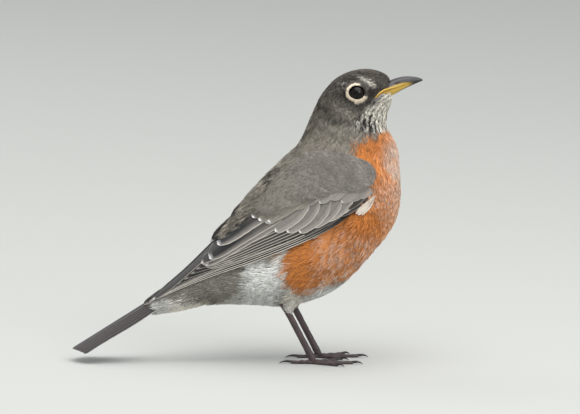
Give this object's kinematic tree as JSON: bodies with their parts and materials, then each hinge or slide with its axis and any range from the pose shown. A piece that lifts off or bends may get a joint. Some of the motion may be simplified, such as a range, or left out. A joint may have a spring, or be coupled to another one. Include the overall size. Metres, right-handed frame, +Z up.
{
  "type": "american robin",
  "caption": "Plump thrush standing alert: rusty breast, grey-brown back, folded wings, long closed tail, slim closed bill and thin legs on flat perching feet.",
  "frame": {"origin": "on the floor below the middle of the bounding box", "axes": "+X the way the bird faces, +Y its left side, +Z up"},
  "size_m": [0.1826, 0.0588, 0.1532],
  "materials": {
    "plumage_slate": "dense soft contour feathers",
    "plumage_grey_brown": "dense soft contour feathers",
    "plumage_rust": "dense soft contour feathers, pale fringes",
    "plumage_white": "loose downy feathers",
    "flight_feather": "smooth satin vanes with pale edges",
    "horn_dark": "satin horn",
    "horn_yellow": "satin horn",
    "eye": "wet, mirror-smooth",
    "leg_skin": "scaled horny skin",
    "claw": "satin horn"
  },
  "bodies": {
    "root": {"head": "plumage_slate", "neck": "plumage_grey_brown", "trunk": "plumage_rust", "rump_and_vent": "plumage_white", "tail": "flight_feather", "bill_upper": "horn_dark", "bill_lower": "horn_yellow", "eye_left": "eye", "eye_right": "eye", "wing_right_coverts": "plumage_grey_brown", "wing_right_flight_feathers": "flight_feather", "wing_right_primary_tips": "flight_feather", "thigh_right": "plumage_white", "shank_right": "leg_skin", "toe_right_middle": "leg_skin", "claw_right_middle": "claw", "toe_right_inner": "leg_skin", "claw_right_inner": "claw", "toe_right_outer": "leg_skin", "claw_right_outer": "claw", "toe_right_hind": "leg_skin", "claw_right_hind": "claw", "wing_left_coverts": "plumage_grey_brown", "wing_left_flight_feathers": "flight_feather", "wing_left_primary_tips": "flight_feather", "thigh_left": "plumage_white", "shank_left": "leg_skin", "toe_left_middle": "leg_skin", "claw_left_middle": "claw", "toe_left_inner": "leg_skin", "claw_left_inner": "claw", "toe_left_outer": "leg_skin", "claw_left_outer": "claw", "toe_left_hind": "leg_skin", "claw_left_hind": "claw"}
  },
  "joints": []
}
